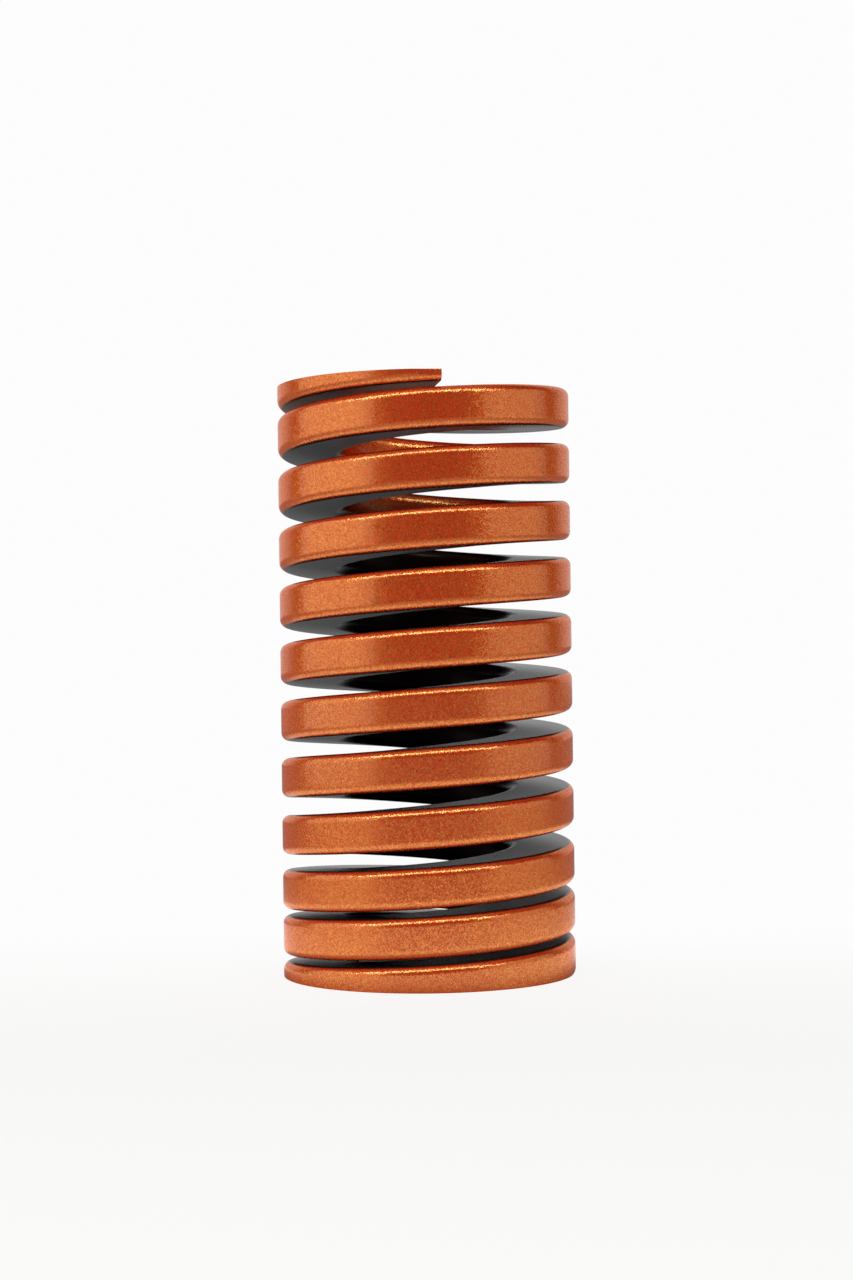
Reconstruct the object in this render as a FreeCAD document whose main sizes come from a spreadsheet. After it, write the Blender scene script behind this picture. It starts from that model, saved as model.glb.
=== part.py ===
"""Bump spring: a short, stiff compression spring that slides over a damper's rod.

It is one length of rectangular wire, coiled right-handed, with closed ends that are ground flat.
Millimetres, Z up. The origin is the centre of the ground face that the spring stands on.
"""
import FreeCAD, Part
import math
import os

import Sketcher

# The driving dimensions: alias, value, and what it measures.
DIMENSIONS = [
    ("outer_diameter", 41.0, "over the coils"),
    ("inner_diameter", 22.5, "through the coils, clear of a 22 mm damper rod"),
    ("wire_height", 5.5, "section of the wire along the axis"),
    ("outer_corner_radius", 1.1, "wire corners on the outside of the coils"),
    ("inner_corner_radius", 1.5, "wire corners on the inside of the coils"),
    ("free_length", 82.5, "between the two ground faces"),
    ("lower_closed_turns", 2.33, "nearly closed turns from the lower tip"),
    ("active_turns", 8.2, "open turns of one pitch"),
    ("upper_closed_turns", 0.82, "nearly closed turns to the upper tip"),
    ("lower_closing_gap", 0.9, "pitch of the lower closed turns past the wire's height"),
    ("upper_closing_gap", 0.3, "pitch of the upper closed turns past the wire's height"),
    ("blend_turns", 0.6, "over which one pitch runs into the next"),
    ("tip_thickness", 1.5, "left of the wire at each tip by the grinding"),
    ("upper_tip_angle", 277.2, "from +X round to where the upper tip ends, in degrees"),
    ("relief_length", 4.0, "of the flat on the outside of each tip"),
    ("relief_depth", 0.25, "of that flat at the wire's end"),
    ("relief_lean", 12.0, "of that flat towards the axis at its ground edge, in degrees"),
    ("bore_trim", 0.01, "taken off the inside of the coiled wire, to make it a true cylinder"),
    ("cut_overrun", 2.0, "how far a cut reaches past what it cuts"),
]

document = FreeCAD.newDocument("bump_spring")
sheet = document.addObject("Spreadsheet::Sheet", "sizes")
for row, (alias, value, meaning) in enumerate(DIMENSIONS, start=1):
    sheet.set(f"A{row}", alias)
    sheet.set(f"B{row}", str(value))
    sheet.setAlias(f"B{row}", alias)
    sheet.set(f"C{row}", meaning)
document.recompute()


def size(alias):
    """A driving dimension, read from the sheet."""
    return float(sheet.get(alias))


# The wire's middle line runs from the lower tip, up these turns, to the upper tip.
TURNS = size("lower_closed_turns") + size("active_turns") + size("upper_closed_turns")
LOWER_TIP_ANGLE = size("upper_tip_angle") - 360 * TURNS
LOWER_TIP_HEIGHT = size("tip_thickness") - size("wire_height") / 2
UPPER_TIP_HEIGHT = size("free_length") - LOWER_TIP_HEIGHT
LOWER_TIP_ANGLE_RULE = ("sizes.upper_tip_angle - 360 * (sizes.lower_closed_turns"
                        " + sizes.active_turns + sizes.upper_closed_turns)")

# The ends of a line in a sketch, and the sketch's own axis and origin, as constraints name them.
START, END, CENTRE = range(1, 4)
HORIZONTAL_AXIS = -1
ORIGIN = (-1, 1)


def coil_path():
    """The middle line of the wire: helices of different pitch, each running smoothly into the next.

    It is drawn on the unrolled cylinder, as turns and height, and then wrapped round it.
    """
    lower_turns = size("lower_closed_turns")
    active_turns = size("active_turns")
    lower_pitch = size("wire_height") + size("lower_closing_gap")
    upper_pitch = size("wire_height") + size("upper_closing_gap")
    lower_knee = (lower_turns, LOWER_TIP_HEIGHT + lower_turns * lower_pitch)
    upper_knee = (lower_turns + active_turns,
                  UPPER_TIP_HEIGHT - size("upper_closed_turns") * upper_pitch)
    active_pitch = (upper_knee[1] - lower_knee[1]) / active_turns
    half_blend = size("blend_turns") / 2

    cylinder = Part.Cylinder()
    cylinder.Radius = (size("outer_diameter") + size("inner_diameter")) / 4

    def unrolled(turns, height):
        return FreeCAD.Base.Vector2d(math.radians(LOWER_TIP_ANGLE + 360 * turns), height)

    def along(knee, pitch, turns):
        """The point that many turns past a knee, on a line of that pitch."""
        return knee[0] + turns, knee[1] + turns * pitch

    def helix(first, last):
        """Edges of at most half a turn each."""
        count = math.ceil(2 * (last[0] - first[0]))
        turns = [first[0] + (last[0] - first[0]) * step / count for step in range(count + 1)]
        heights = [first[1] + (last[1] - first[1]) * step / count for step in range(count + 1)]
        marks = [unrolled(*mark) for mark in zip(turns, heights)]
        return [Part.Geom2d.Line2dSegment(a, b).toShape(cylinder) for a, b in zip(marks, marks[1:])]

    def blend(first, knee, last):
        """A parabola on the unrolled cylinder, along which the pitch changes evenly."""
        parabola = Part.Geom2d.BezierCurve2d()
        parabola.setPoles([unrolled(*first), unrolled(*knee), unrolled(*last)])
        return [parabola.toShape(cylinder)]

    closed_end = along(lower_knee, lower_pitch, -half_blend)
    active_start = along(lower_knee, active_pitch, half_blend)
    active_end = along(upper_knee, active_pitch, -half_blend)
    closed_start = along(upper_knee, upper_pitch, half_blend)
    return Part.Wire(helix((0, LOWER_TIP_HEIGHT), closed_end)
                     + blend(closed_end, lower_knee, active_start)
                     + helix(active_start, active_end)
                     + blend(active_end, upper_knee, closed_start)
                     + helix(closed_start, (TURNS, UPPER_TIP_HEIGHT)))


def origin_plane(role):
    """One of the body's own origin planes."""
    return next(feature for feature in body.Origin.OriginFeatures if feature.Role == role)


def new_sketch(name, role):
    """An empty sketch on one of the body's origin planes."""
    sketch = body.newObject("Sketcher::SketchObject", name)
    sketch.AttachmentSupport = [(origin_plane(role), "")]
    sketch.MapMode = "FlatFace"
    return sketch


def dimension(sketch, name, constraint, rule):
    """A named constraint whose value follows the sheet."""
    index = sketch.addConstraint(constraint)
    sketch.renameConstraint(index, name)
    sketch.setExpression(f"Constraints.{name}", rule)


def line(start, end):
    return Part.LineSegment(FreeCAD.Vector(*start, 0), FreeCAD.Vector(*end, 0))


def circle(radius, centre=(0, 0)):
    return Part.Circle(FreeCAD.Vector(*centre, 0), FreeCAD.Vector(0, 0, 1), radius)


def quarter(radius, centre, first_angle):
    start = math.radians(first_angle)
    return Part.ArcOfCircle(circle(radius, centre), start, start + math.pi / 2)


def draw_wire_section():
    """The wire's rounded rectangle, in the upright plane through the axis where the lower tip is."""
    sketch = new_sketch("wire_section", "XZ_Plane")
    sketch.AttachmentOffset = FreeCAD.Placement(
        FreeCAD.Vector(0, LOWER_TIP_HEIGHT, 0), FreeCAD.Rotation(FreeCAD.Vector(0, 1, 0), LOWER_TIP_ANGLE))
    sketch.setExpression(".AttachmentOffset.Base.y", "sizes.tip_thickness - sizes.wire_height / 2")
    sketch.setExpression(".AttachmentOffset.Rotation.Angle", LOWER_TIP_ANGLE_RULE)

    inner = size("inner_diameter") / 2 - size("bore_trim")
    outer = size("outer_diameter") / 2
    half = size("wire_height") / 2
    inner_round = size("inner_corner_radius")
    outer_round = size("outer_corner_radius")
    underside, lower_corner, outer_wall, upper_corner, top, inner_corner, inner_wall, last_corner = range(8)
    sketch.addGeometry([
        line((inner + inner_round, -half), (outer - outer_round, -half)),
        quarter(outer_round, (outer - outer_round, outer_round - half), 270),
        line((outer, outer_round - half), (outer, half - outer_round)),
        quarter(outer_round, (outer - outer_round, half - outer_round), 0),
        line((outer - outer_round, half), (inner + inner_round, half)),
        quarter(inner_round, (inner + inner_round, half - inner_round), 90),
        line((inner, half - inner_round), (inner, inner_round - half)),
        quarter(inner_round, (inner + inner_round, inner_round - half), 180),
    ])
    for edge in range(underside, last_corner):
        sketch.addConstraint(Sketcher.Constraint("Tangent", edge, END, edge + 1, START))
    sketch.addConstraint([
        Sketcher.Constraint("Tangent", last_corner, END, underside, START),
        Sketcher.Constraint("Horizontal", underside),
        Sketcher.Constraint("Vertical", outer_wall),
        Sketcher.Constraint("Symmetric", underside, END, top, START, HORIZONTAL_AXIS),
        Sketcher.Constraint("Equal", lower_corner, upper_corner),
        Sketcher.Constraint("Equal", inner_corner, last_corner),
    ])
    dimension(sketch, "wire_height",
              Sketcher.Constraint("DistanceY", underside, END, top, START, 2 * half), "sizes.wire_height")
    dimension(sketch, "inner_wall", Sketcher.Constraint("DistanceX", *ORIGIN, inner_wall, START, inner),
              "sizes.inner_diameter / 2 - sizes.bore_trim")
    dimension(sketch, "outer_wall", Sketcher.Constraint("DistanceX", *ORIGIN, outer_wall, START, outer),
              "sizes.outer_diameter / 2")
    dimension(sketch, "outer_round", Sketcher.Constraint("Radius", lower_corner, outer_round),
              "sizes.outer_corner_radius")
    dimension(sketch, "inner_round", Sketcher.Constraint("Radius", inner_corner, inner_round),
              "sizes.inner_corner_radius")
    return sketch


def draw_circle(name, radius_rule, height_rule="0"):
    """A circle round the axis, at a height over the plane that the spring stands on."""
    sketch = new_sketch(name, "XY_Plane")
    sketch.setExpression(".AttachmentOffset.Base.z", height_rule)
    radius = size("outer_diameter")
    sketch.addGeometry(circle(radius))
    sketch.addConstraint(Sketcher.Constraint("Coincident", 0, CENTRE, *ORIGIN))
    dimension(sketch, "radius", Sketcher.Constraint("Radius", 0, radius), radius_rule)
    return sketch


def draw_relief(name, upper):
    """What the relief cuts from a tip, seen along the axis, at the tip's ground face.

    The sketch's x axis runs out through the wire's end, and the wire lies to one side of it.
    """
    sketch = new_sketch(name, "XY_Plane")
    if upper:
        sketch.setExpression(".AttachmentOffset.Rotation.Angle", "sizes.upper_tip_angle")
        sketch.setExpression(".AttachmentOffset.Base.z", "sizes.free_length")
    else:
        sketch.setExpression(".AttachmentOffset.Rotation.Angle", LOWER_TIP_ANGLE_RULE)

    radius = size("outer_diameter") / 2
    overrun = size("cut_overrun")
    side = 1 if upper else -1
    start = (math.sqrt(radius ** 2 - size("relief_length") ** 2), -side * size("relief_length"))
    wire_end = (radius - size("relief_depth"), 0)
    past_end = (wire_end[0], side * overrun)
    outer_side = ((radius + overrun, past_end[1]), (radius + overrun, start[1]))
    flat, end_side, far_side, start_side, rim, flat_at_end = range(6)
    sketch.addGeometry([
        line(start, past_end),
        line(past_end, outer_side[0]),
        line(*outer_side),
        line(outer_side[1], start),
    ])
    sketch.addGeometry([circle(radius), Part.Point(FreeCAD.Vector(*wire_end, 0))], True)
    for edge in range(flat, start_side):
        sketch.addConstraint(Sketcher.Constraint("Coincident", edge, END, edge + 1, START))
    sketch.addConstraint([
        Sketcher.Constraint("Coincident", start_side, END, flat, START),
        Sketcher.Constraint("Horizontal", end_side),
        Sketcher.Constraint("Vertical", far_side),
        Sketcher.Constraint("Horizontal", start_side),
        Sketcher.Constraint("Coincident", rim, CENTRE, *ORIGIN),
        Sketcher.Constraint("PointOnObject", flat, START, rim),
        Sketcher.Constraint("PointOnObject", flat_at_end, START, HORIZONTAL_AXIS),
        Sketcher.Constraint("PointOnObject", flat_at_end, START, flat),
    ])

    def along_wire(first, second, length):
        """The distance along the wire between two points, the first nearer to the wire's middle."""
        ends = (*first, *second) if upper else (*second, *first)
        return Sketcher.Constraint("DistanceY", *ends, length)

    dimension(sketch, "rim", Sketcher.Constraint("Radius", rim, radius), "sizes.outer_diameter / 2")
    dimension(sketch, "flat_at_end",
              Sketcher.Constraint("DistanceX", *ORIGIN, flat_at_end, START, wire_end[0]),
              "sizes.outer_diameter / 2 - sizes.relief_depth")
    dimension(sketch, "far_side",
              Sketcher.Constraint("DistanceX", *ORIGIN, far_side, START, radius + overrun),
              "sizes.outer_diameter / 2 + sizes.cut_overrun")
    dimension(sketch, "length",
              along_wire((flat, START), (flat_at_end, START), size("relief_length")),
              "sizes.relief_length")
    dimension(sketch, "overrun",
              along_wire((flat_at_end, START), (flat, END), overrun), "sizes.cut_overrun")
    return sketch


def cut(name, sketch, upwards=False, depth_rule=None, lean_rule=None):
    """A pocket from a sketch, to a depth or right through."""
    pocket = body.newObject("PartDesign::Pocket", name)
    pocket.Profile = sketch
    pocket.Reversed = upwards
    if depth_rule:
        pocket.Type = "Length"
        pocket.setExpression("Length", depth_rule)
    else:
        pocket.Type = "ThroughAll"
    if lean_rule:
        pocket.setExpression("TaperAngle", lean_rule)
    document.recompute()
    volumes.append(pocket.Shape.Volume)
    if not volumes[-1] < volumes[-2]:
        raise RuntimeError(f"{name} removed nothing")


body = document.addObject("PartDesign::Body", "bump_spring_body")
body.Label = "bump_spring"

# The wire is swept along its path, and the axis keeps its section upright.
path = document.addObject("Part::Feature", "coil_path")
path.Shape = coil_path()
axis = document.addObject("Part::Feature", "coil_axis")
axis.Shape = Part.Wire([Part.makeLine(
    FreeCAD.Vector(0, 0, LOWER_TIP_HEIGHT), FreeCAD.Vector(0, 0, UPPER_TIP_HEIGHT))])
coil = body.newObject("PartDesign::AdditivePipe", "coiled_wire")
coil.Profile = draw_wire_section()
coil.Spine = (path, [f"Edge{number}" for number in range(1, len(path.Shape.Edges) + 1)])
coil.Mode = "Auxiliary"
coil.AuxiliarySpine = (axis, ["Edge1"])
coil.AuxiliaryCurvilinear = False
document.recompute()
volumes = [coil.Shape.Volume]

# A small flat on the outside of each tip, deepest at the ground face, keeps the thin end from catching.
LEAN_RULE = "-sizes.relief_lean"
cut("lower_relief", draw_relief("lower_relief_outline", False), upwards=True,
    depth_rule="sizes.tip_thickness + sizes.lower_closing_gap / 2", lean_rule=LEAN_RULE)
cut("upper_relief", draw_relief("upper_relief_outline", True),
    depth_rule="sizes.tip_thickness + sizes.upper_closing_gap", lean_rule=LEAN_RULE)

# Both ends are ground square to the axis, which leaves the tips as thin tapers.
DISC_RULE = "sizes.outer_diameter / 2 + sizes.cut_overrun"
cut("lower_grinding", draw_circle("lower_disc", DISC_RULE), depth_rule="sizes.wire_height")
cut("upper_grinding", draw_circle("upper_disc", DISC_RULE, "sizes.free_length"), upwards=True,
    depth_rule="sizes.wire_height")

# The inside is trimmed to the bore that the damper rod passes through.
cut("inner_wall", draw_circle("bore_circle", "sizes.inner_diameter / 2"), upwards=True)

for item in document.Objects:
    if "Invalid" in item.State or "Error" in item.State:
        raise RuntimeError(f"{item.Name} could not be built")
spring = body.Shape
if spring.isNull() or not spring.isValid() or len(spring.Solids) != 1:
    raise RuntimeError("the spring is not one valid solid")
os.makedirs("parts", exist_ok=True)
spring.exportStep(f"parts/{body.Label}.step")
print("volume after each step, in mm3:", [round(volume) for volume in volumes])
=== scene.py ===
"""Looks of the bump spring: its coiled wire with a flaked copper coat, on a pale stage.

Metres, Z up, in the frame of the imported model: the spring stands on its lower ground face.
"""

import math

import bmesh
import bpy
from bpy.props import FloatProperty, FloatVectorProperty, IntProperty, PointerProperty
from mathutils import Matrix, Vector


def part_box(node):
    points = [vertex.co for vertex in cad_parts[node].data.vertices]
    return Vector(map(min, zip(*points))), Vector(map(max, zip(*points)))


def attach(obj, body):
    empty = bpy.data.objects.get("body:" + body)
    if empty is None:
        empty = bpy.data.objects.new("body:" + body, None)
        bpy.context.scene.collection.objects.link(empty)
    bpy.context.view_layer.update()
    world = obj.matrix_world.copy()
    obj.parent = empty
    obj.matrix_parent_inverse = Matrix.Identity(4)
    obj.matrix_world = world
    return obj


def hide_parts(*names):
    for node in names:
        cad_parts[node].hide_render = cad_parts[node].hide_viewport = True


bl_info = {
    "name": "Bump spring",
    "version": (1, 0, 0),
    "blender": (4, 5, 0),
    "location": "View3D > Sidebar > Bump spring",
    "description": "Builds a bump spring of rectangular wire and the stage it stands on",
    "category": "Object",
}

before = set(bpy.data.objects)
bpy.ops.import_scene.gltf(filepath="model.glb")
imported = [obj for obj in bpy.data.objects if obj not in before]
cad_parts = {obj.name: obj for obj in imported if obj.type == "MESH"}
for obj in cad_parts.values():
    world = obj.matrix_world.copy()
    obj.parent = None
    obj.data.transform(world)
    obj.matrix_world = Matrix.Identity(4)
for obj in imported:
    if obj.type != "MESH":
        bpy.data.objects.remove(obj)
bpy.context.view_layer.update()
NODE = "bump_spring"
LOW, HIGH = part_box(NODE)
UP = Vector((0, 0, 1))
MM = 0.001

# Tolerances and small distances of the mesh, and the angle from which an edge stays sharp
FLAT_MARGIN = 0.15 * MM
MERGE_DISTANCE = 0.001 * MM
CUT_TOLERANCE = 1e-8
SHARP_ANGLE = math.radians(35)

# Where the masks of the painted shade on the coat and of the floor run from nothing to full
GROUND_SKIN = 0.1 * MM
RADIUS_FADE = 1 * MM
LEVEL_START = 0.8
LEVEL_FULL = 0.97
BELOW_TOP_START = 7 * MM
BELOW_TOP_FULL = 9 * MM

# The middle of the random values that the grains of the coat take
MIDDLE_GRAIN = 0.5

# Where the white surround and the ceiling start and are full, as parts of a direction's length
BEHIND_START = 0.45
BEHIND_FULL = 0.8
OVERHEAD_START = 0.8
OVERHEAD_FULL = 0.97

# The lamps, each with its name, place, width, depth and watts, and the point that they face
LAMPS = (
    ("left_lamp", (-0.48, -0.13, 0.16), 0.75, 0.6, 1.6),
    ("right_lamp", (0.48, -0.1, 0.06), 0.6, 0.6, 0.8),
    ("top_lamp", (0, -0.36, 0.44), 1.2, 0.06, 3.2),
)
LAMP_TARGET = Vector((0, 0, 0.04))

# The camera's frame height in millimetres, and the nearest that it sees
FRAME_HEIGHT = 36
NEAREST_SEEN = 10 * MM


def length(name, default, description, least=0):
    return FloatProperty(name=name, description=description, default=default, min=least,
                         unit="LENGTH", subtype="DISTANCE", precision=5)


def amount(name, default, description):
    return FloatProperty(name=name, description=description, default=default, min=0)


def angle(name, default, description):
    return FloatProperty(name=name, description=description, default=math.radians(default),
                         subtype="ANGLE")


def colour(name, default, description):
    return FloatVectorProperty(name=name, description=description, default=default, size=3,
                               min=0, max=1, precision=4, subtype="COLOR")


# Sizes of the wire and its coils

class SpringSizes(bpy.types.PropertyGroup):
    outer_diameter: length("Outer diameter", HIGH.x - LOW.x, "Over the coils")
    inner_diameter: length("Inner diameter", 22.5 * MM, "Through the coils")
    free_length: length("Free length", HIGH.z - LOW.z, "Between the two ground faces")
    wire_height: length("Wire height", 5.5 * MM, "Section of the wire along the axis")
    outer_round: length("Outer corners", 1.1 * MM, "Radius of the wire's corners outside")
    inner_round: length("Inner corners", 1.5 * MM, "Radius of the wire's corners inside")
    lower_turns: amount("Lower turns", 2.33, "Nearly closed turns from the lower tip")
    active_turns: amount("Active turns", 8.2, "Open turns of one pitch")
    upper_turns: amount("Upper turns", 0.82, "Nearly closed turns to the upper tip")
    blend_turns: amount("Blend", 0.6, "Turns over which one pitch runs into the next")
    lower_gap: length("Lower gap", 0.9 * MM, "Between the lower closed turns")
    upper_gap: length("Upper gap", 0.3 * MM, "Between the upper closed turns")
    tip_thickness: length("Tip thickness", 1.5 * MM, "Left of the wire at each tip")
    tip_angle: angle("Upper tip", 277.2, "From the X axis round to where the upper tip ends")
    relief_length: length("Relief length", 4 * MM, "Of the flat on the outside of each tip")
    relief_depth: length("Relief depth", 0.25 * MM, "Of that flat at the wire's end")
    relief_lean: angle("Relief lean", 12, "Of that flat towards the axis at its ground edge")
    steps: IntProperty(name="Steps", description="Mesh steps in each turn", default=120, min=12)
    round_steps: IntProperty(name="Corner steps", description="Mesh steps in each corner",
                             default=7, min=1)


# Colours and grain of the coat, and the painted shade between the coils and in the bore

class CoatLooks(bpy.types.PropertyGroup):
    paint: colour("Paint", (0.48, 0.021, 0.004), "Deep orange between the flakes")
    flake: colour("Flakes", (0.86, 0.36, 0.08), "Golden copper of the metal flakes")
    # Painted shade: a near-black colour that stands in for the shade between the coils and deep in
    # the bore
    painted_shade_colour: colour("Thin coat", (0.016, 0.006, 0.005), "Of the faces that the coat hardly reaches")
    flake_size: length("Flake size", 0.13 * MM, "Across one flake")
    flake_share: amount("Flake share", 0.42, "Share of the surface that is metal flake")
    flake_spread: amount("Flake spread", 1.3, "How much that share varies from grain to grain")
    flake_tilt: amount("Flake tilt", 0.2, "How far the flakes lean out of the surface")
    # Where that painted shade lies in the bore: inside this radius, starting and full at these
    # depths below the top
    inside_radius: length("Inside", 12 * MM, "From the axis, what counts as inside the bore")
    shade_start_depth: length("Coat reach", 9 * MM, "Down the bore from the top, where it starts to thin")
    shade_full_depth: length("Coat end", 22 * MM, "Down the bore from the top, from where on it is thin")
    flake_roughness: amount("Flake roughness", 0.25, "Of the metal flakes")
    paint_roughness: amount("Paint roughness", 0.6, "Of the paint between the flakes")
    gloss: amount("Gloss", 0.4, "Weight of the clear layer over paint and flakes")
    gloss_roughness: amount("Gloss roughness", 0.1, "Of the clear layer")
    # Gloss, tint and roughness of the faces that carry the painted shade
    painted_shade_gloss: amount("Thin coat gloss", 0.12, "Specular level of the thin coat")
    painted_shade_tint: colour("Thin coat tint", (1, 0.8, 0.76), "Of what the thin coat reflects")
    painted_shade_roughness: amount("Thin coat roughness", 0.27, "Of the thin coat")
    edge_tint: colour("Edge tint", (1, 0.6, 0.4), "Of the flakes seen at a grazing angle")


# Sizes and light of the stage

class StageLooks(bpy.types.PropertyGroup):
    camera_place: FloatVectorProperty(
        name="Camera", description="Where the camera stands", size=3, subtype="TRANSLATION",
        unit="LENGTH", default=(0.00009, -0.3196, 0.0439))
    camera_tilt: angle("Camera tilt", 0.52, "Above the horizontal")
    camera_roll: angle("Camera roll", -0.73, "About its own line of sight")
    lens: amount("Lens", 63.74, "Focal length in millimetres on a 36 mm frame height")
    floor_width: length("Floor width", 6.0, "Of the square floor")
    floor_near: length("Plain floor", 0.13, "From the axis to where the floor starts to fade")
    floor_far: length("Faded floor", 0.32, "From the axis to where it is as white as the backdrop")
    floor_front: length("Front floor", -0.08, "Where the floor starts to fade towards the back",
                        least=-1)
    floor_back: length("Back floor", 0.05, "Where it is as white as the backdrop behind", least=-1)
    floor: colour("Floor", (0.94, 0.94, 0.93), "Of the floor round the spring")
    white: colour("White", (0.98, 0.98, 0.98), "Of the backdrop")
    shadow_fade: amount("Shadow fade", 0.78, "How much of the shadow on the floor is lost")
    surround_light: amount("Surround light", 0.95, "Of the white surround on the spring")
    front_light: amount("Front light", 0.04, "Of the dark room in front, against the surround")
    overhead_light: amount("Overhead light", 0.4, "Of the ceiling, against the surround")
    # Painted light and shade in reflections: the floor glows brighter near the spring, less further
    # off, and a painted shade strip lies right beside the spring
    floor_shine: amount("Floor shine", 1.5, "Brightness of the lit floor in reflections")
    far_shine: amount("Far shine", 0.4, "The same, further away from the spring")
    shine_near: length("Shine near", 0.04, "From the axis to where the floor shines less")
    shine_far: length("Shine far", 0.15, "From the axis to where it shines least")
    foot_shine: amount("Foot shine", 0.2, "Share of that brightness left right beside the spring")
    foot_width: length("Foot width", 0.012, "Of the dimmer floor right beside the spring")


# Shader nodes written as plain expressions

class Shade:
    """A socket of a node tree, on which Python's arithmetic adds Math nodes."""

    def __init__(self, tree, socket):
        self.tree = tree
        self.socket = socket

    def math(self, operation, *others):
        values = {place: value for place, value in enumerate((self, *others))}
        return self.tree.node("ShaderNodeMath", {"operation": operation}, values)

    def __add__(self, other):
        return self.math("ADD", other)

    __radd__ = __add__

    def __mul__(self, other):
        return self.math("MULTIPLY", other)

    __rmul__ = __mul__

    def __sub__(self, other):
        return self.math("SUBTRACT", other)

    def __rsub__(self, other):
        return (self * -1).math("ADD", other)

    def __gt__(self, other):
        return self.math("GREATER_THAN", other)


class Nodes:
    """A node tree, empty at first."""

    def __init__(self, owner):
        owner.use_nodes = True
        self.tree = owner.node_tree
        self.tree.nodes.clear()

    def node(self, kind, settings=None, values=None, output=0):
        """Adds a node with its settings, then the values or links of its sockets."""
        node = self.tree.nodes.new(kind)
        for name, value in (settings or {}).items():
            setattr(node, name, value)
        for name, value in (values or {}).items():
            if isinstance(value, Shade):
                self.tree.links.new(value.socket, node.inputs[name])
            else:
                node.inputs[name].default_value = value
        if not node.outputs:
            return node
        return Shade(self, node.outputs[output])

    def ramp(self, value, start, end, low=0.0, high=1.0):
        """Runs smoothly from low to high as the value goes from start to end."""
        return self.node("ShaderNodeMapRange", {"interpolation_type": "SMOOTHSTEP"},
                         {0: value, 1: start, 2: end, 3: low, 4: high})


# The coiled wire

class Coil:
    """The wire's middle line as turns from the lower tip and height."""

    def __init__(self, sizes):
        self.turns = sizes.lower_turns + sizes.active_turns + sizes.upper_turns
        self.start_angle = sizes.tip_angle - math.tau * self.turns
        self.low = sizes.tip_thickness - sizes.wire_height / 2
        self.high = sizes.free_length - self.low
        self.half_blend = sizes.blend_turns / 2
        self.lower_pitch = sizes.wire_height + sizes.lower_gap
        self.upper_pitch = sizes.wire_height + sizes.upper_gap
        self.knees = (sizes.lower_turns, sizes.lower_turns + sizes.active_turns)
        self.knee_heights = (self.low + sizes.lower_turns * self.lower_pitch,
                             self.high - sizes.upper_turns * self.upper_pitch)
        self.pitch = (self.knee_heights[1] - self.knee_heights[0]) / sizes.active_turns

    def blended(self, turn, knee, height, before, after):
        """Height near a knee, where the pitch changes evenly from one to the other."""
        along = turn - knee
        rise = height + along * (before if along < 0 else after)
        short = max(0, self.half_blend - abs(along))
        return rise + (after - before) * short ** 2 / (4 * self.half_blend)

    def height(self, turn):
        if turn < sum(self.knees) / 2:
            return self.blended(turn, self.knees[0], self.knee_heights[0],
                                self.lower_pitch, self.pitch)
        return self.blended(turn, self.knees[1], self.knee_heights[1],
                            self.pitch, self.upper_pitch)


def wire_section(mesh, sizes, coil, turn):
    """The edges of the wire's rounded rectangle, that many turns from the lower tip."""
    inner = sizes.inner_diameter / 2
    outer = sizes.outer_diameter / 2
    half = sizes.wire_height / 2
    places = ((inner, -half), (outer, -half), (outer, half), (inner, half))
    corners = [mesh.verts.new((x, 0, z)) for x, z in places]
    mesh.faces.new(corners)
    for pair, radius in ((corners[1:3], sizes.outer_round), (corners[0::3], sizes.inner_round)):
        bmesh.ops.bevel(mesh, geom=pair, offset=radius, offset_type="OFFSET",
                        segments=sizes.round_steps, profile=0.5, affect="VERTICES",
                        material=-1)
    # A short edge beside each corner keeps the shading of the flat sides flat.
    sides = [edge for edge in mesh.edges if edge.calc_length() > half]
    for edge in sides:
        for corner in edge.verts[:]:
            side = max(corner.link_edges, key=lambda other: other.calc_length())
            bmesh.utils.edge_split(side, corner, FLAT_MARGIN / side.calc_length())
    bmesh.ops.delete(mesh, geom=mesh.faces[:], context="FACES_ONLY")
    bmesh.ops.translate(mesh, verts=mesh.verts[:], vec=UP * coil.height(turn))
    bmesh.ops.rotate(mesh, verts=mesh.verts[:], cent=(0, 0, 0),
                     matrix=Matrix.Rotation(coil.start_angle + math.tau * turn, 3, "Z"))


def wind(mesh, sizes, coil):
    """Sweeps the section up the coils, a turn at a time, and closes both ends of the wire."""
    count = round(coil.turns * sizes.steps)
    step = coil.turns / count
    stretch = bpy.data.meshes.new("one_turn")
    for first in range(0, count, sizes.steps):
        part = bmesh.new()
        wire_section(part, sizes, coil, first * step)
        front = part.verts[:] + part.edges[:]
        for place in range(first, min(first + sizes.steps, count)):
            rise = coil.height((place + 1) * step) - coil.height(place * step)
            front = bmesh.ops.spin(part, geom=front, cent=(0, 0, 0), axis=UP, dvec=UP * rise,
                                   angle=math.tau * step, steps=1)["geom_last"]
        part.to_mesh(stretch)
        part.free()
        mesh.from_mesh(stretch)
    bpy.data.meshes.remove(stretch)
    bmesh.ops.remove_doubles(mesh, verts=mesh.verts[:], dist=MERGE_DISTANCE)
    close_holes(mesh)


def close_holes(mesh):
    rims = [edge for edge in mesh.edges if edge.is_boundary]
    bmesh.ops.holes_fill(mesh, edges=rims, sides=0)


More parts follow.
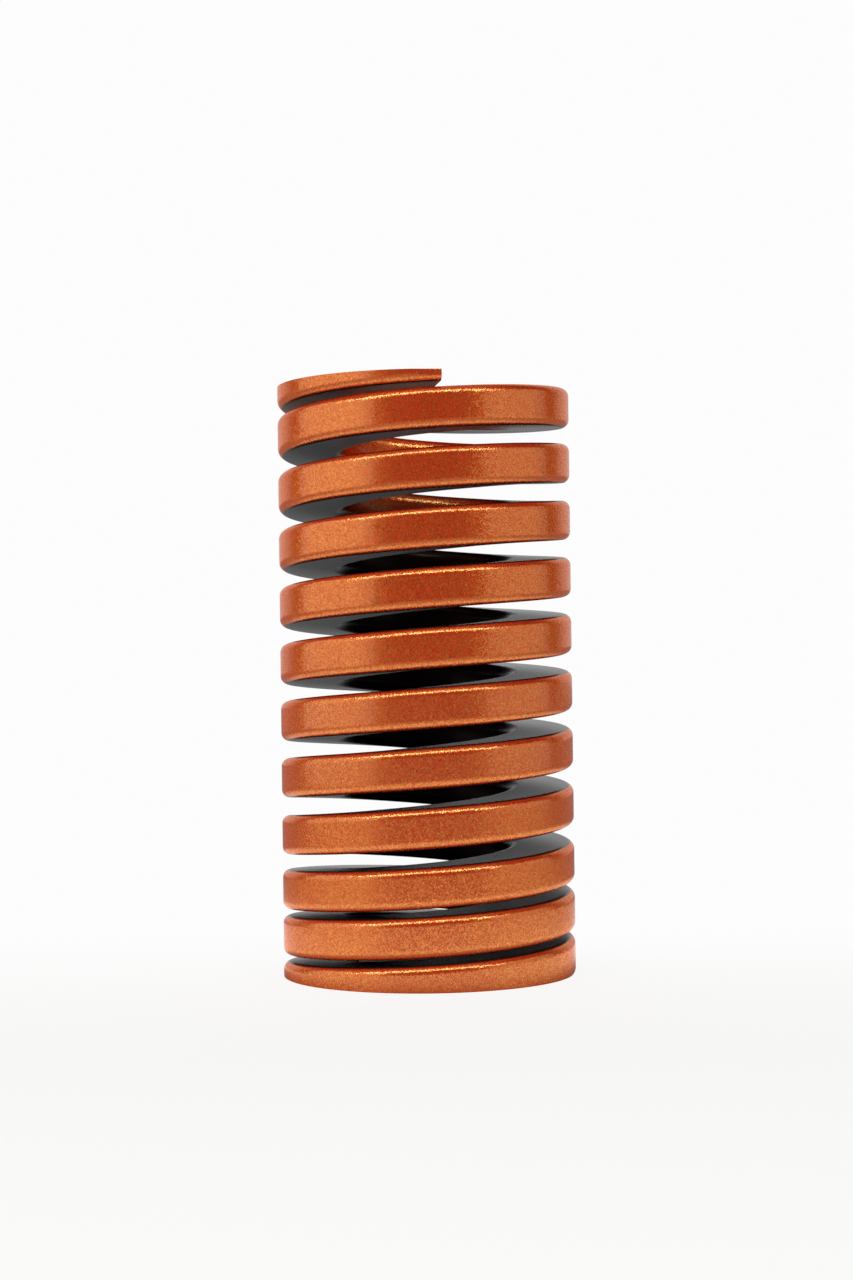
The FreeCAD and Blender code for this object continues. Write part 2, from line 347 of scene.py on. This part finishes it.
def relieve(mesh, sizes, coil, upper):
    """Cuts the small flat on the outside of a tip, deepest at its end and ground edge."""
    side = 1 if upper else -1
    ground = sizes.free_length if upper else 0
    tip_angle = sizes.tip_angle if upper else coil.start_angle
    turn = Matrix.Rotation(tip_angle, 3, "Z")
    radius = sizes.outer_diameter / 2
    end = Vector((radius - sizes.relief_depth, 0, 0))
    start = Vector((math.sqrt(radius ** 2 - sizes.relief_length ** 2),
                    -side * sizes.relief_length, 0))
    along = (end - start).normalized()
    out = along.cross(UP) * side
    facing = out * math.cos(sizes.relief_lean) + UP * side * math.sin(sizes.relief_lean)
    reach = sizes.tip_thickness + sizes.upper_gap
    tip = turn @ Vector((radius, 0, 0))
    near = [face for face in mesh.faces
            if all(side * (vert.co.z - ground) > -reach
                   and (vert.co.xy - tip.xy).length < radius
                   for vert in face.verts)]
    edges = {edge for face in near for edge in face.edges}
    verts = {vert for face in near for vert in face.verts}
    bmesh.ops.bisect_plane(mesh, geom=[*verts, *edges, *near], dist=CUT_TOLERANCE,
                           plane_co=turn @ end + UP * ground, plane_no=turn @ facing,
                           clear_outer=True)
    close_holes(mesh)


def grind(mesh, sizes):
    """Cuts both ends square to the axis."""
    for height, normal in ((0, -UP), (sizes.free_length, UP)):
        bmesh.ops.bisect_plane(mesh, geom=mesh.verts[:] + mesh.edges[:] + mesh.faces[:],
                               dist=CUT_TOLERANCE, plane_co=UP * height, plane_no=normal,
                               clear_outer=True)
        close_holes(mesh)


def finished_piece(mesh, name):
    """A smoothly shaded object from a mesh, with its sharp edges kept."""
    bmesh.ops.recalc_face_normals(mesh, faces=mesh.faces[:])
    for face in mesh.faces:
        face.smooth = True
    for edge in mesh.edges:
        edge.smooth = not edge.is_manifold or edge.calc_face_angle() < SHARP_ANGLE
    data = bpy.data.meshes.new(name)
    mesh.to_mesh(data)
    mesh.free()
    piece = bpy.data.objects.new(name, data)
    bpy.context.scene.collection.objects.link(piece)
    return piece


def painted_shade_mask(nodes, place, facing, looks):
    """A mask of the painted shade: the faces between the coils, and deep in the bore from the top.
    """
    upright = nodes.node("ShaderNodeSeparateXYZ", values={"Vector": facing}, output=2)
    height = nodes.node("ShaderNodeSeparateXYZ", values={"Vector": place}, output=2)
    depth = HIGH.z - height
    above = (nodes.ramp(upright, LEVEL_START, LEVEL_FULL)
             * nodes.ramp(depth, BELOW_TOP_START, BELOW_TOP_FULL))
    below = nodes.ramp(upright * -1, LEVEL_START, LEVEL_FULL) * (height > GROUND_SKIN)
    across = nodes.node("ShaderNodeVectorMath", {"operation": "MULTIPLY"},
                        {0: place, 1: (1, 1, 0)})
    radius = nodes.node("ShaderNodeVectorMath", {"operation": "LENGTH"}, {0: across}, output=1)
    inside = 1 - nodes.ramp(radius, looks.inside_radius, looks.inside_radius + RADIUS_FADE)
    deep = nodes.ramp(depth, looks.shade_start_depth, looks.shade_full_depth)
    return above.math("MAXIMUM", below).math("MAXIMUM", inside * deep)


def flaked_coat(looks):
    """Golden metal flakes in deep orange paint under a clear glossy layer; painted shade between
    coils and down the bore.
    """
    material = bpy.data.materials.new("flaked_copper_coat")
    nodes = Nodes(material)
    place = nodes.node("ShaderNodeTexCoord", output=3)
    scale = 1 / looks.flake_size
    cell = nodes.node("ShaderNodeTexVoronoi", values={"Vector": place, "Scale": scale}, output=1)
    parts = nodes.node("ShaderNodeSeparateColor", values={"Color": cell})
    flake = looks.flake_share * (1 + looks.flake_spread * (parts - MIDDLE_GRAIN))
    lean = nodes.node("ShaderNodeVectorMath", {"operation": "SUBTRACT"},
                      {0: cell, 1: (MIDDLE_GRAIN,) * 3})
    facing = nodes.node("ShaderNodeNewGeometry", output=1)
    tilted = nodes.node("ShaderNodeVectorMath", {"operation": "MULTIPLY_ADD"},
                        {0: lean, 1: (looks.flake_tilt,) * 3, 2: facing})
    normal = nodes.node("ShaderNodeVectorMath", {"operation": "NORMALIZE"}, {0: tilted})
    # Where the painted shade goes: the faces between the coils, and deep in the bore
    between = painted_shade_mask(nodes, place, facing, looks)
    gloss = {"Coat Weight": looks.gloss, "Coat Roughness": looks.gloss_roughness}
    paint = nodes.node("ShaderNodeBsdfPrincipled", values={
        "Base Color": (*looks.paint, 1),
        "Roughness": looks.paint_roughness,
        "Specular IOR Level": 0.0,
        **gloss,
    })
    flakes = nodes.node("ShaderNodeBsdfPrincipled", values={
        "Base Color": (*looks.flake, 1),
        "Metallic": 1.0,
        "Roughness": looks.flake_roughness,
        "Specular Tint": (*looks.edge_tint, 1),
        "Normal": normal,
        **gloss,
    })
    # The near-black shader of the painted shade
    thin = nodes.node("ShaderNodeBsdfPrincipled", values={
        "Base Color": (*looks.painted_shade_colour, 1),
        "Roughness": looks.painted_shade_roughness,
        "Specular IOR Level": looks.painted_shade_gloss,
        "Specular Tint": (*looks.painted_shade_tint, 1),
    })
    coat = nodes.node("ShaderNodeMixShader", values={0: flake, 1: paint, 2: flakes})
    # The painted shade is mixed in over the coat where the mask says
    shader = nodes.node("ShaderNodeMixShader", values={0: between, 1: coat, 2: thin})
    nodes.node("ShaderNodeOutputMaterial", values={"Surface": shader})
    return material


class BUMP_SPRING_OT_coil(bpy.types.Operator):
    """Coils the wire, grinds its ends and coats it"""

    bl_idname = "bump_spring.coil"
    bl_label = "Coil the spring"

    def execute(self, context):
        sizes = context.scene.spring_sizes
        coil = Coil(sizes)
        mesh = bmesh.new()
        wind(mesh, sizes, coil)
        relieve(mesh, sizes, coil, upper=False)
        relieve(mesh, sizes, coil, upper=True)
        grind(mesh, sizes)
        piece = finished_piece(mesh, "coiled_wire")
        piece.data.materials.append(flaked_coat(context.scene.coat_looks))
        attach(piece, "root")
        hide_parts(NODE)
        return {"FINISHED"}


# The stage

def white_world(looks):
    """A white surround behind the spring, a dimmer ceiling and a dark room in front."""
    world = bpy.data.worlds.new("white_surround")
    nodes = Nodes(world)
    toward = nodes.node("ShaderNodeTexCoord", output=0)
    parts = nodes.node("ShaderNodeSeparateXYZ", values={"Vector": toward})
    y, z = (Shade(nodes, socket) for socket in parts.socket.node.outputs[1:])
    behind = nodes.ramp(y, BEHIND_START, BEHIND_FULL)
    overhead = nodes.ramp(z, OVERHEAD_START, OVERHEAD_FULL,
                          looks.front_light, looks.overhead_light)
    light = behind.math("MAXIMUM", overhead)
    seen = nodes.node("ShaderNodeLightPath", output=0)
    strength = seen + (1 - seen) * light * looks.surround_light
    shader = nodes.node("ShaderNodeBackground",
                        values={"Color": (*looks.white, 1), "Strength": strength})
    nodes.node("ShaderNodeOutputWorld", values={"Surface": shader})
    bpy.context.scene.world = world


def white_floor(looks):
    """A floor with a faint shadow under the spring, which fades into the white around it.

    In reflections it glows with painted light, brightest a little way from the spring, and with
    painted shade right beside the spring. Inside the coils it gives no light of its own.
    """
    material = bpy.data.materials.new("white_floor")
    nodes = Nodes(material)
    place = nodes.node("ShaderNodeTexCoord", output=3)
    away = nodes.node("ShaderNodeVectorMath", {"operation": "LENGTH"}, {0: place}, output=1)
    back = nodes.node("ShaderNodeSeparateXYZ", values={"Vector": place}, output=1)
    behind = nodes.ramp(back, looks.floor_front, looks.floor_back)
    far = behind.math("MAXIMUM", nodes.ramp(away, looks.floor_near, looks.floor_far))
    glow_colour = nodes.node("ShaderNodeMix", {"data_type": "RGBA"},
                             {0: far, 6: (*looks.floor, 1), 7: (*looks.white, 1)}, output=2)
    matt = nodes.node("ShaderNodeBsdfDiffuse", values={"Color": (*looks.floor, 1)})
    in_view = nodes.node("ShaderNodeLightPath", output=0)
    in_gloss = nodes.node("ShaderNodeLightPath", output=3)
    # Painted light in reflections: brighter near the spring, and a painted shade right beside it
    shine = nodes.ramp(away, looks.shine_near, looks.shine_far,
                       looks.floor_shine, looks.far_shine)
    foot = nodes.ramp(away, HIGH.x, HIGH.x + looks.foot_width, looks.foot_shine)
    strength = in_view + in_gloss * shine * foot
    glow = nodes.node("ShaderNodeEmission", values={"Color": glow_colour, "Strength": strength})
    seen = in_view.math("MAXIMUM", in_gloss)
    outside = nodes.ramp(away, HIGH.x - RADIUS_FADE, HIGH.x)
    shadowless = outside * (far + (1 - far) * looks.shadow_fade)
    shader = nodes.node("ShaderNodeMixShader", values={0: seen * shadowless, 1: matt, 2: glow})
    nodes.node("ShaderNodeOutputMaterial", values={"Surface": shader})
    mesh = bmesh.new()
    bmesh.ops.create_grid(mesh, x_segments=1, y_segments=1, size=looks.floor_width / 2)
    floor = finished_piece(mesh, "floor")
    floor.data.materials.append(material)


def lamp(name, place, width, depth, power):
    data = bpy.data.lights.new(name, "AREA")
    data.shape = "RECTANGLE"
    data.size = width
    data.size_y = depth
    data.energy = power
    piece = bpy.data.objects.new(name, data)
    piece.location = place
    piece.rotation_euler = (LAMP_TARGET - Vector(place)).to_track_quat("-Z", "Y").to_euler()
    bpy.context.scene.collection.objects.link(piece)


def camera(looks):
    data = bpy.data.cameras.new("camera")
    data.lens = looks.lens
    data.sensor_fit = "VERTICAL"
    data.sensor_height = FRAME_HEIGHT
    data.clip_start = NEAREST_SEEN
    piece = bpy.data.objects.new("camera", data)
    upright = math.pi / 2 + looks.camera_tilt
    piece.matrix_world = (Matrix.Translation(looks.camera_place)
                          @ Matrix.Rotation(upright, 4, "X")
                          @ Matrix.Rotation(looks.camera_roll, 4, "Z"))
    bpy.context.scene.collection.objects.link(piece)
    bpy.context.scene.camera = piece


class BUMP_SPRING_OT_stage(bpy.types.Operator):
    """Sets up the white floor, the soft light and the camera"""

    bl_idname = "bump_spring.stage"
    bl_label = "Set up the stage"

    def execute(self, context):
        looks = context.scene.stage_looks
        white_world(looks)
        white_floor(looks)
        for settings in LAMPS:
            lamp(*settings)
        camera(looks)
        context.scene.view_settings.view_transform = "Standard"
        return {"FINISHED"}


class BUMP_SPRING_PT_panel(bpy.types.Panel):
    bl_label = "Bump spring"
    bl_idname = "BUMP_SPRING_PT_panel"
    bl_space_type = "VIEW_3D"
    bl_region_type = "UI"
    bl_category = "Bump spring"

    def draw(self, context):
        layout = self.layout
        layout.operator(BUMP_SPRING_OT_coil.bl_idname)
        layout.operator(BUMP_SPRING_OT_stage.bl_idname)
        for group in (context.scene.spring_sizes, context.scene.coat_looks,
                      context.scene.stage_looks):
            box = layout.box()
            for name in group.__annotations__:
                box.prop(group, name)


CLASSES = (SpringSizes, CoatLooks, StageLooks, BUMP_SPRING_OT_coil, BUMP_SPRING_OT_stage,
           BUMP_SPRING_PT_panel)


def register():
    for item in CLASSES:
        bpy.utils.register_class(item)
    bpy.types.Scene.spring_sizes = PointerProperty(type=SpringSizes)
    bpy.types.Scene.coat_looks = PointerProperty(type=CoatLooks)
    bpy.types.Scene.stage_looks = PointerProperty(type=StageLooks)


def unregister():
    del bpy.types.Scene.stage_looks
    del bpy.types.Scene.coat_looks
    del bpy.types.Scene.spring_sizes
    for item in reversed(CLASSES):
        bpy.utils.unregister_class(item)


def main():
    register()
    bpy.ops.bump_spring.coil()
    bpy.ops.bump_spring.stage()


if __name__ == "__main__":
    main()
